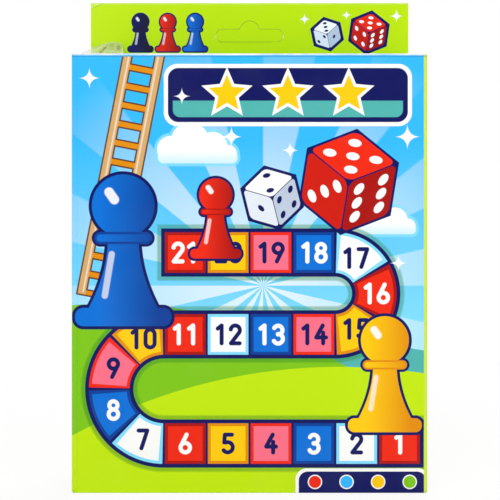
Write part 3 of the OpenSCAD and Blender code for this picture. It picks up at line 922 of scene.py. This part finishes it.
def board_leaf(name, side, first_column, first_row, low, high):
    """A leaf of the game board: numbered squares on its playing face, linen paper on its back and edges."""
    material, tree = new_material(name)
    spot = print_spot(tree, (-side, 0.0, 0.0), (0.0, 0.0, 1.0))
    wide, tall = 2 * LEAF_HALF / LEAF_COLUMNS, (high - low) / LEAF_ROWS
    across, rise = (spot.x + LEAF_HALF) / wide, (spot.y - low) / tall
    column, row = across.floor(), rise.floor()
    dx, dy = (across - column - 0.5) * wide, (rise - row - 0.5) * tall
    page = Print(spot, NAVY)
    square = block(Spot(tree, tree.join(dx, dy)), wide / 2 - 0.6, tall / 2 - 0.6, 1.2)
    full_row = row + float(first_row)
    full_column = column + float(first_column)
    cycle = ink_cycle(full_column * 2.0 + full_row)
    page.lay(square, square_ink(cycle, TILE_INKS))
    step = full_column + (full_row % 2.0) * (2.0 * LEAF_COLUMNS - 1.0 - full_column * 2.0)
    page.number(full_row * (2.0 * LEAF_COLUMNS) + step + 1.0, dx, dy, 11.0,
                square_ink(cycle, NUMBER_INKS), square)
    weave_a = tree.math("SINE", tree.along((9000.0, 0.0, 900.0)))
    weave_b = tree.math("SINE", tree.along((900.0, 0.0, 9000.0)))
    linen = weave_a * weave_b
    back = tree.mix(linen * 0.25 + 0.25, NAVY, ink(34, 48, 132))
    shown = facing(tree, (0.0, float(side), 0.0))
    height = linen * 1.2e-5 + tree.noise(40.0) * 1.0e-4
    finish(tree, tree.mix(shown, back, page.colour), 0.62 - shown * 0.26, height)
    return material


def hinge_cloth():
    """Woven book cloth."""
    material, tree = new_material("book_cloth")
    warp = tree.math("SINE", tree.along((0.0, 5200.0, 5200.0)))
    weave = warp * tree.math("SINE", tree.along((7000.0, 0.0, 0.0)))
    colour = tree.mix(weave * 0.5 + 0.5, ink(24, 26, 40), ink(58, 62, 84))
    finish(tree, colour, 0.85 + weave * 0.08, weave * 2.0e-5)
    return material


def leaflet_paper():
    """White paper with ruled boxes and small colour squares, creased at its fold."""
    material, tree = new_material("leaflet_sheet")
    low, high = (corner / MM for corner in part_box("rules_leaflet"))
    spot = print_spot(tree, (1.0, 0.0, 0.0), (0.0, 0.0, 1.0))
    middle = spot.local(((low.x + high.x) / 2, (low.z + high.z) / 2))
    half_w, half_h = (high.x - low.x) / 2, (high.z - low.z) / 2
    page = Print(spot, ink(244, 243, 238))
    page.lay(abs(block(middle, half_w - 6.0, half_h - 6.0, 2.0)) - 0.4, NAVY)
    for index, colour in enumerate([RED, BLUE, YELLOW, GREEN]):
        page.lay(block(middle.local((-36.0 + 24.0 * index, half_h - 20.0)), 8.0, 8.0, 1.4), colour)
    rules = tree.math("FRACT", middle.y / 6.0)
    ruled = block(middle.local((0.0, -14.0)), half_w - 14.0, 22.0, 0.5)
    page.lay(farthest(abs(rules - 0.5) * 6.0 - 0.25, ruled), ink(150, 156, 176))
    fibre = tree.noise(1500.0, 3.0, 0.6)
    page.tint(fibre * 0.08, BARE_FLECK)
    finish(tree, page.colour, 0.8 + fibre * 0.1, fibre * 8.0e-6 + tree.noise(30.0) * 2.0e-4)
    return material


# Brown dust caught in the tape: its places across and along, and how far each spreads
DUST_PATCHES = [((0.44, 0.25), (0.12, 0.3)), ((0.86, 0.45), (0.1, 0.3))]


def tape_film():
    """Clear tape, crumpled: a painted highlight along its edges, whitened creases with a painted highlight on
    them, and dust caught in it.
    """
    material, tree = new_material("tape_film")
    at = tree.node("ShaderNodeUVMap", {"uv_map": "film"})
    across = tree.vector("DOT_PRODUCT", at, X, output=1)
    along = tree.vector("DOT_PRODUCT", at, Y, output=1)
    crumple = tree.noise(2.6, 1.6, 0.5, (1.5, 2.2, 1.0), at)
    crease = (1.0 - abs(crumple - 0.5) * 26.0).held()
    from_edge = nearest(across, 1.0 - across, 1.0 - along)
    rim_highlight = (1.0 - from_edge / 0.055).held()
    patches = []
    for (u, v), (wide, long) in DUST_PATCHES:
        off = tree.vector("MULTIPLY", tree.vector("SUBTRACT", at, (u, v, 0.0)), (1 / wide, 1 / long, 0.0))
        patches.append(1.0 - tree.vector("LENGTH", off, output=1))
    specks = (tree.noise(7.0, 2.0, 0.5, (1.7, 0.8, 1.0), at) * 3.2 - 0.7).held()
    dust = (farthest(*patches) * 2.0).held() * specks
    film = tree.mix(crumple, ink(214, 207, 160), ink(246, 244, 226))
    # Painted highlight along the film's edges; along the creases, the film's own whitening with a painted
    # highlight on it
    film = tree.mix(farthest(crease * 0.6, rim_highlight * 0.9), film, WHITE)
    film = tree.mix(dust * 0.85, film, ink(118, 98, 58))
    alpha = farthest(crumple * 0.5 + 0.1, crease * 0.6, rim_highlight * 0.8, dust * 0.8)
    finish(tree, film, crumple * 0.16 + 0.16, crumple * 1.0e-4, alpha=alpha)
    return material


def front_with_wrap(spot):
    """The front's print, with the side's lime carried round the right-hand fold."""
    page = front_picture(spot)
    draw_wrap(page)
    return page


def header_sides(tree):
    """The slot flap's front and rear faces, without its cut edge."""
    return tree.math("MULTIPLY_ADD", abs(tree.along(Y, "Normal")), 4.0, -1.0, clamp=True)


# A fold: direction, place, share of its paling (rubbed wear with a painted highlight), and place and share of
# the painted shade in a second crease
UPRIGHT_FOLDS = [(Y, -HALF_D, 0.2, 0.0, 0.0), (Y, HALF_D, 0.2, 0.0, 0.0)]
SIDE_EDGES = [(X, -HALF_W, 0.2, 0.0, 0.0), (X, HALF_W, 0.2, 0.0, 0.0)]
LID_FOLD = (Y, -HALF_D, 0.3, 0.0, 0.0)
SLOPE = math.sqrt(0.5)
LID_CORNER = ((0.0, -SLOPE, SLOPE), SLOPE * (HALF_D + HEIGHT - 2 * CREASE_R) + CREASE_R, 1.9, 0.75, 0.3)
front_board = boxboard("front_board", front_with_wrap, X, Z, wrap_outside,
                       [(Z, HEIGHT, 0.9, 1.5, 0.2), (X, -HALF_W, 0.25, 2.6, 0.06), (X, HALF_W, 0.05, 0.0, 0.0),
                        (Z, 0.0, 0.2, 0.0, 0.0)])
left_board = boxboard("left_board", side_picture, FRONT, Z, wrap_outside, UPRIGHT_FOLDS)
right_board = boxboard("right_board", side_picture, Y, Z, wrap_outside, UPRIGHT_FOLDS)
back_board = boxboard("back_board", back_picture, LEFT, Z, wrap_outside,
                      SIDE_EDGES + [(Z, HEADER_TOP, 0.2, 0.0, 0.0), (Z, 0.0, 0.2, 0.0, 0.0)])
header_board = boxboard("header_board", header_picture, X, Z, lambda tree: facing(tree, (0.0, -0.8, 0.6)),
                        [(Z, HEADER_TOP, 0.25, 0.0, 0.0)])
slot_board = boxboard("slot_board", plain_header, X, Z, header_sides)
lid_board = boxboard("lid_board", sky_picture, X, Y, Z, [LID_FOLD])
tuck_board = boxboard("tuck_board", sky_picture, X, Z, (0.0, 0.94, 0.34))
dust_board = boxboard("dust_board", lime_picture, X, Y, Z)
under_board = boxboard("under_board", lime_picture, X, Y, DOWN, [LID_FOLD])
under_tuck_board = boxboard("under_tuck_board", lime_picture, X, Z, (0.0, 0.94, -0.34))
glue_board = boxboard("glue_board", lime_picture, X, Z, Y)
sky_crease = boxboard("sky_crease", sky_fold, X, Y, None, [LID_CORNER])
tuck_crease = boxboard("tuck_crease", sky_picture, X, Y, None)
lime_crease = boxboard("lime_crease", lime_picture, X, Y, None)
foot_board = boxboard("foot_board", foot_picture, X, Y, DOWN, [LID_FOLD])
foot_crease = boxboard("foot_crease", foot_picture, X, Y, None)

leaf_low, leaf_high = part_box("board_leaf_1")
finishes = {
    "front_panel": front_board,
    "left_side_panel": left_board,
    "right_side_panel": right_board,
    "back_panel": back_board,
    "glue_flap": glue_board,
    "header_front_ply": header_board,
    "hang_slot_flap": slot_board,
    "top_lid": lid_board,
    "top_tuck_flap": tuck_board,
    "top_dust_flap_left": dust_board,
    "top_dust_flap_right": dust_board,
    "bottom_lid": foot_board,
    "bottom_tuck_flap": under_tuck_board,
    "bottom_dust_flap_left": under_board,
    "bottom_dust_flap_right": under_board,
    "insert_tray": sheer_tray(),
    "die": moulded("die_ivory", ink(246, 243, 232), ink(226, 220, 200), 0.24),
    "rules_leaflet": leaflet_paper(),
}
cloth = hinge_cloth()
for place in ("front", "rear", "spine"):
    finishes["board_hinge_" + place] = cloth
PAWN_INKS = {
    "red": (ink(214, 24, 18), ink(150, 8, 8)),
    "blue": (ink(12, 86, 200), ink(4, 44, 130)),
    "yellow": (ink(250, 196, 10), ink(212, 142, 0)),
    "green": (ink(30, 156, 52), ink(8, 104, 30)),
}
for name, (colour, shade) in PAWN_INKS.items():
    low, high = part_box("pawn_" + name)
    finishes["pawn_" + name] = moulded("pawn_plastic_" + name, colour, shade, 0.26, (low.y + high.y) / 2)
for index, (side, column, row) in enumerate([(1, 0, 0), (-1, 0, LEAF_ROWS), (1, LEAF_COLUMNS, LEAF_ROWS),
                                             (-1, LEAF_COLUMNS, 0)], start=1):
    finishes[f"board_leaf_{index}"] = board_leaf(f"leaf_print_{index}", side, column, row,
                                                 leaf_low.z / MM, leaf_high.z / MM)
for name, material in finishes.items():
    nodes[name].data.materials.clear()
    nodes[name].data.materials.append(material)


# Pieces made here

def plain_mesh(source, name):
    """The result of an object's modifiers as a plain mesh object, and the source taken away."""
    graph = bpy.context.evaluated_depsgraph_get()
    mesh = bpy.data.meshes.new_from_object(source.evaluated_get(graph))
    mesh.name = name
    bpy.data.objects.remove(source)
    return add_object(name, mesh)


def geometry_group(name, sizes):
    """A geometry tree with named sizes and a finish coming in, as the tree and its first node."""
    group = bpy.data.node_groups.new(name, "GeometryNodeTree")
    inputs = [("Geometry", "Geometry"), *[(label, "Float") for label in sizes], ("Finish", "Material")]
    for label, kind in inputs:
        group.interface.new_socket(label, in_out="INPUT", socket_type="NodeSocket" + kind)
    group.interface.new_socket("Geometry", in_out="OUTPUT", socket_type="NodeSocketGeometry")
    tree = Tree(group)
    return tree, tree.node("NodeGroupInput")


def end_group(tree, shape, material):
    """The end of a geometry tree: real faces with their finish."""
    real = tree.node("GeometryNodeRealizeInstances", None, {0: shape})
    done = tree.node("GeometryNodeSetMaterial", None, {"Geometry": real, "Material": material})
    tree.node("NodeGroupOutput", None, {0: done})
    return tree.tree


def crease_tree():
    """Geometry nodes for a skin over a crease: a lap on one panel, a round fold and a lap on the next."""
    tree, start = geometry_group("crease_skin", ("Length", "Radius", "Near Lap", "Far Lap", "Fold"))
    length, radius, near, far, fold, board = [start.output(index) for index in range(1, 7)]
    arc = radius * fold
    width = near + arc + far
    grid = tree.node("GeometryNodeMeshGrid", None,
                     {"Size X": length, "Size Y": width, "Vertices X": 60, "Vertices Y": 28})
    place = tree.node("ShaderNodeSeparateXYZ", None, {0: tree.node("GeometryNodeInputPosition")})
    ahead = place.output(1) + width * 0.5 - near
    turned = tree.math("MINIMUM", tree.math("MAXIMUM", ahead / radius, 0.0), fold)
    before = tree.math("MINIMUM", ahead, 0.0)
    after = tree.math("MAXIMUM", ahead - arc, 0.0)
    on = tree.math("SINE", turned) * radius + before + after * tree.math("COSINE", fold)
    out = tree.math("COSINE", turned) * radius - after * tree.math("SINE", fold)
    bent = tree.join(place, on, out)
    shaped = tree.node("GeometryNodeSetPosition", None, {"Geometry": grid, "Position": bent})
    smooth = tree.node("GeometryNodeSetShadeSmooth", None, {0: shaped})
    return end_group(tree, smooth, board)


def set_inputs(modifier, values):
    """A node modifier's inputs, by their sockets' identifiers."""
    for item in modifier.node_group.interface.items_tree:
        if item.in_out == "INPUT" and item.name in values:
            modifier[item.identifier] = values[item.name]


CREASE_TREE = crease_tree()
SKIN_LIFT = 0.015 * MM
SKIN_T = 0.06 * MM


def crease_skin(name, board, axis, ahead, out, length, fold, near=0.9, far=0.9):
    """The folded outer ply over one crease. It starts along ahead, with its outer side towards out."""
    source = add_object(name + "_source", bpy.data.meshes.new(name + "_source"))
    rule = source.modifiers.new("crease_skin", "NODES")
    rule.node_group = CREASE_TREE
    radius = CREASE_R * MM + SKIN_LIFT
    angle = math.radians(fold)
    set_inputs(rule, {"Length": length, "Radius": radius, "Near Lap": near * MM, "Far Lap": far * MM,
                      "Fold": angle, "Finish": board})
    wall = source.modifiers.new("wall", "SOLIDIFY")
    wall.thickness, wall.offset = SKIN_T, -1.0
    skin = plain_mesh(source, name)
    ahead, out, axis = Vector(ahead), Vector(out), Vector(axis)
    side = ahead.cross(out)
    turn = Matrix((side, ahead, out)).transposed().to_4x4()
    skin.data.transform(Matrix.Translation(axis) @ turn)
    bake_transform(skin)


axes = {joint["name"]: Vector(joint["pos_m"]) for joint in frame["joints"]}
lid_w = lid_high.x - lid_low.x
TUCK_CORNER = 8.0 * MM
TUCK_FOLD = 106.0
DUST_EASE = 0.4 * MM
tuck_w = 2 * (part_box("top_tuck_flap")[1].x - TUCK_CORNER)
dust_low, dust_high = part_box("top_dust_flap_left")
dust_w = dust_high.y - dust_low.y - 2 * DUST_EASE
dust_mid = (dust_low.y + dust_high.y) / 2
crease_skin("top_lid_crease_skin", sky_crease,
            axes["top_lid_crease"], Z, FRONT, lid_w, 90.0)
crease_skin("top_tuck_crease_skin", tuck_crease,
            axes["top_tuck_crease"], Y, Z, tuck_w, TUCK_FOLD)
crease_skin("bottom_lid_crease_skin", foot_crease,
            axes["bottom_lid_crease"], DOWN, FRONT, lid_w, 90.0)
crease_skin("bottom_tuck_crease_skin", lime_crease,
            axes["bottom_tuck_crease"], Y, DOWN, tuck_w, TUCK_FOLD)
for side, out in (("left", LEFT), ("right", X)):
    for end, ahead in (("top", Z), ("bottom", DOWN)):
        joint = f"{end}_dust_{side}_crease"
        crease_skin(joint + "_skin", lime_crease,
                    axes[joint] + Vector((0.0, dust_mid, 0.0)), ahead, out, dust_w, 90.0)

# Tape, from the lid's front edge up to the header, crumpled as it was torn loose
tape_low, tape_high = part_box("tape_seal")
TAPE_ACROSS, TAPE_ALONG = 56, 60
TAPE_T = 0.05 * MM
TAPE_RISE = 14.6
GATHER_LEFT, GATHER_RIGHT = 3.4, 6.0
PLEATS = 3.4
PLEAT_DEPTH = 0.36


def pleat(turns):
    """A sharp fold to and fro, between -1 and 1."""
    return abs((turns % 1.0) - 0.5) * 4.0 - 1.0


def tape_point(u, v):
    """A place on the film, u across and v along: flat at the lid, gathered and pleated at the header."""
    left = tape_low.x + (0.1 + GATHER_LEFT * v) * MM
    right = tape_high.x - (1.2 + GATHER_RIGHT * v) * MM
    slack = math.sin(math.pi * min(1.0, 0.12 + 0.8 * v))
    stir = noise.noise(Vector((u * 2.4, v * 2.2, 3.7)))
    fold = pleat(u * PLEATS + stir * 0.7 + 0.2) + 0.6 * pleat(v * 2.3 + u * 1.1 + stir)
    lift = (PLEAT_DEPTH * fold * slack - 0.2 * v) * MM
    rise = (TAPE_RISE - 1.4 * abs(2.0 * u - 1.0) ** 4) * MM
    y = tape_low.y + 0.1 * MM + (tape_high.y - tape_low.y - 0.5 * MM) * v - 0.37 * lift
    z = tape_low.z + 0.12 * MM + rise * v ** 0.9 + 0.93 * lift
    return Vector((left + (right - left) * u,
                   min(max(y, tape_low.y + 0.05 * MM), tape_high.y - 0.1 * MM),
                   min(max(z, tape_low.z + 0.1 * MM), tape_high.z - 0.2 * MM)))


def tape_seal():
    """The crumpled strip of film, with its own map of places across and along."""
    mesh = bmesh.new()
    film = mesh.loops.layers.uv.new("film")
    places, rows = {}, []
    for step in range(TAPE_ALONG + 1):
        row = []
        for part in range(TAPE_ACROSS + 1):
            u, v = part / TAPE_ACROSS, step / TAPE_ALONG
            row.append(mesh.verts.new(tape_point(u, v)))
            places[row[-1]] = (u, v)
        rows.append(row)
    for low, high in zip(rows, rows[1:]):
        for part in range(TAPE_ACROSS):
            face = mesh.faces.new((low[part], low[part + 1], high[part + 1], high[part]))
            for corner in face.loops:
                corner[film].uv = places[corner.vert]
    data = bpy.data.meshes.new("tape_source")
    mesh.to_mesh(data)
    mesh.free()
    data.materials.append(tape_film())
    source = add_object("tape_source", data)
    wall = source.modifiers.new("film", "SOLIDIFY")
    wall.thickness, wall.offset = TAPE_T, 0.0
    made = plain_mesh(source, "crumpled_tape")
    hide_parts("tape_seal")
    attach(made, "top_lid")


tape_seal()

# Pips of the die, painted in its faces
PIP_R = 1.25 * MM
PIP_LIFT = 0.012 * MM
PIP_SIDES = 24


def pip_tree():
    """Geometry nodes that set a painted pip on each point, square to the face that it is on."""
    tree, start = geometry_group("die_pips", ("Radius",))
    sizes = {"Vertices": PIP_SIDES, "Radius": start.output(1)}
    dot = tree.node("GeometryNodeMeshCircle", {"fill_type": "NGON"}, sizes)
    out = tree.node("GeometryNodeInputNamedAttribute", {"data_type": "FLOAT_VECTOR"}, {"Name": "face_out"})
    turn = tree.node("FunctionNodeAlignRotationToVector", {"axis": "Z"}, {"Vector": out})
    sockets = {"Points": start, "Instance": dot, "Rotation": turn}
    set_on = tree.node("GeometryNodeInstanceOnPoints", None, sockets)
    return end_group(tree, set_on, start.output(2))


def die_pips():
    """One to six pips on the faces, opposite faces adding up to seven."""
    low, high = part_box("die")
    middle, edge = (low + high) / 2, high.x - low.x
    points, ways = [], []
    for count, way in ((1, Y), (6, FRONT), (2, X), (5, LEFT), (3, Z), (4, DOWN)):
        out = Vector(way)
        across = out.orthogonal().normalized()
        up = out.cross(across)
        for a, b in PIPS[count]:
            points.append(middle + out * (edge / 2 + PIP_LIFT) + (across * a + up * b) * edge)
            ways.append(out)
    data = bpy.data.meshes.new("pip_points")
    data.from_pydata(points, [], [])
    facing_out = data.attributes.new("face_out", "FLOAT_VECTOR", "POINT")
    for item, way in zip(facing_out.data, ways):
        item.vector = way
    source = add_object("pip_points", data)
    rule = source.modifiers.new("die_pips", "NODES")
    rule.node_group = pip_tree()
    set_inputs(rule, {"Radius": PIP_R, "Finish": moulded("pip_paint", BLACK, ink(44, 44, 50), 0.4)})
    made = plain_mesh(source, "die_pips")
    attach(made, "carton")


die_pips()


# Stage: pale floor and backdrop in one sweep, soft studio light
SHADOW_REACH = 0.35


def stage_white(name, shadow_share):
    """White to the camera and in reflections, with the shadow left near the object, and open from below."""
    material, tree = new_material(name)
    ways = [tree.node("ShaderNodeLightPath", output=f"Is {kind} Ray")
            for kind in ("Camera", "Glossy", "Transmission")]
    away = tree.vector("LENGTH", tree.place(), output=1)
    near = (1.4 - away / SHADOW_REACH).held()
    share = farthest(*ways) * (1.0 - near * shadow_share)
    pale = tree.mix(tree.noise(3.0), ink(246, 246, 246), ink(250, 250, 250))
    plain = tree.node("ShaderNodeBsdfDiffuse", None, {"Color": pale})
    bright = tree.node("ShaderNodeEmission", None, {"Color": (1.0, 1.0, 1.0, 1.0), "Strength": 1.0})
    both = tree.node("ShaderNodeMixShader", None, {0: share, 1: plain, 2: bright})
    under = tree.node("ShaderNodeNewGeometry", output="Backfacing")
    clear = tree.node("ShaderNodeBsdfTransparent")
    one_sided = tree.node("ShaderNodeMixShader", None, {0: under, 1: both, 2: clear})
    tree.node("ShaderNodeOutputMaterial", None, {"Surface": one_sided})
    return material


SWEEP_HALF = 4.0
SWEEP_FRONT = -4.0
SWEEP_BACK = 0.9
SWEEP_R = 0.35
SWEEP_TOP = 1.6
SWEEP_STEPS = 12
FLOOR_Z = -1.0e-4
profile = [(SWEEP_FRONT, FLOOR_Z)]
for step in range(SWEEP_STEPS + 1):
    angle = math.radians(90.0 * step / SWEEP_STEPS)
    profile.append((SWEEP_BACK + SWEEP_R * math.sin(angle), SWEEP_R * (1 - math.cos(angle)) + FLOOR_Z))
profile.append((SWEEP_BACK + SWEEP_R, SWEEP_TOP))
sweep = bpy.data.meshes.new("studio_sweep")
points = [(side * SWEEP_HALF, y, z) for y, z in profile for side in (-1, 1)]
faces = [(2 * i, 2 * i + 1, 2 * i + 3, 2 * i + 2) for i in range(len(profile) - 1)]
sweep.from_pydata(points, [], faces)
sweep.materials.append(stage_white("studio_white", 0.12))
floor = add_object("studio_sweep", sweep)

world = bpy.data.worlds.new("studio_light")
scene.world = world
world.use_nodes = True
world.node_tree.nodes.clear()
sky = Tree(world.node_tree)
room = sky.node("ShaderNodeBackground", None, {"Color": (1.0, 1.0, 1.0, 1.0), "Strength": 0.5})
white = sky.node("ShaderNodeBackground", None, {"Color": (1.0, 1.0, 1.0, 1.0), "Strength": 1.0})
ray = sky.node("ShaderNodeLightPath", output="Is Camera Ray")
shown = sky.node("ShaderNodeMixShader", None, {0: ray, 1: room, 2: white})
sky.node("ShaderNodeOutputWorld", None, {"Surface": shown})


def lamp(name, at, aim, size, power):
    """A square area lamp, turned to face its aim."""
    light = bpy.data.lights.new(name, "AREA")
    light.shape, light.size, light.energy = "SQUARE", size, power
    made = add_object(name, light)
    made.location = at
    made.rotation_euler = (Vector(aim) - Vector(at)).to_track_quat("-Z", "Y").to_euler()


lamp("key_lamp", (-0.55, -0.95, 0.95), (0.0, 0.0, 0.12), 0.7, 7.4)
lamp("fill_lamp", (0.8, -0.8, 0.45), (0.0, 0.0, 0.1), 0.9, 3.5)
lamp("rear_lamp", (0.3, 0.75, 0.8), (0.0, 0.0, 0.12), 0.8, 5.0)
